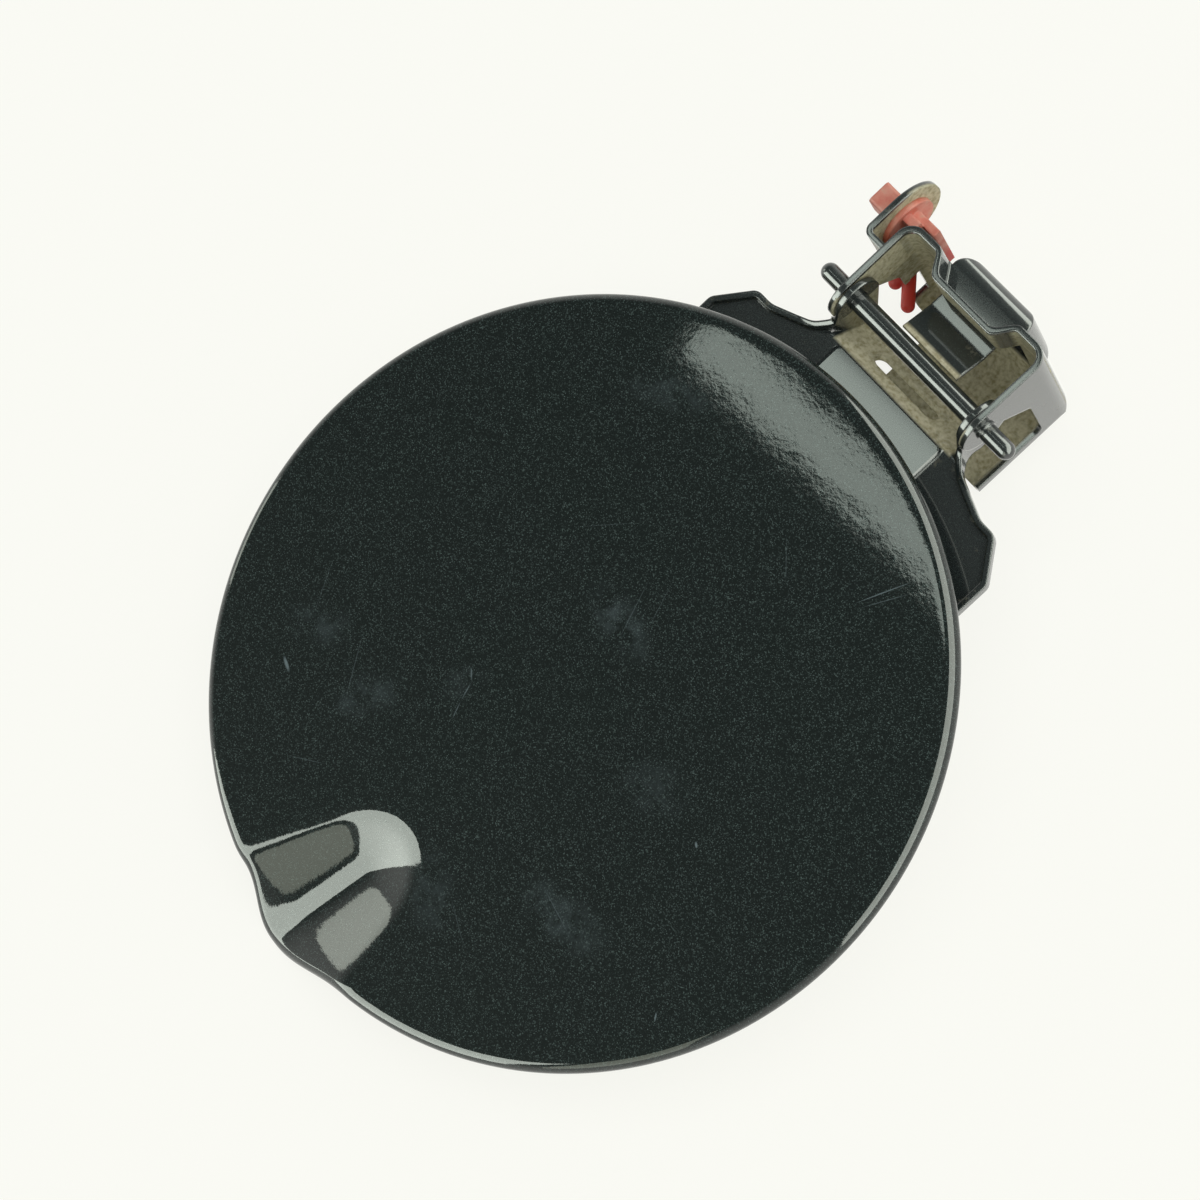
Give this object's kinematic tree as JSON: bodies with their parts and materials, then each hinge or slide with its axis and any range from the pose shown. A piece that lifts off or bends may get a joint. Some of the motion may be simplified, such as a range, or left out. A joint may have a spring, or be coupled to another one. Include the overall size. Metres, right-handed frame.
{
  "type": "fuel flap",
  "caption": "Round black metallic steel fuel flap with a pressed finger scoop, a gooseneck hinge arm, a hinge pin, a drawn steel bracket with a leaf spring, and a red plastic clip.",
  "frame": {"origin": "on the bracket's seat face, on the part's plane of symmetry, 4 mm outboard of the hinge pin's axis", "axes": "+Z points out of the car, square to the closed lid; +Y runs from the lid's centre to the hinge; +X along the hinge pin"},
  "size_m": [0.178, 0.232, 0.0495],
  "materials": {
    "paint": "gloss",
    "dusty_paint": "satin",
    "clip_plastic": "matte"
  },
  "bodies": {
    "bracket": {"hinge_bracket": "dusty_paint", "hinge_pin": "dusty_paint", "leaf_spring": "dusty_paint", "retaining_clip": "clip_plastic"},
    "lid": {"lid_skin": "paint", "lid_inner_panel": "paint", "hinge_arm": "dusty_paint"}
  },
  "joints": [
    {"name": "lid_hinge", "type": "hinge", "parent": "bracket", "child": "lid", "pos_m": [0, -0.004, 0.0375], "axis": [-1, 0, 0], "range_deg": [0, 95]}
  ]
}
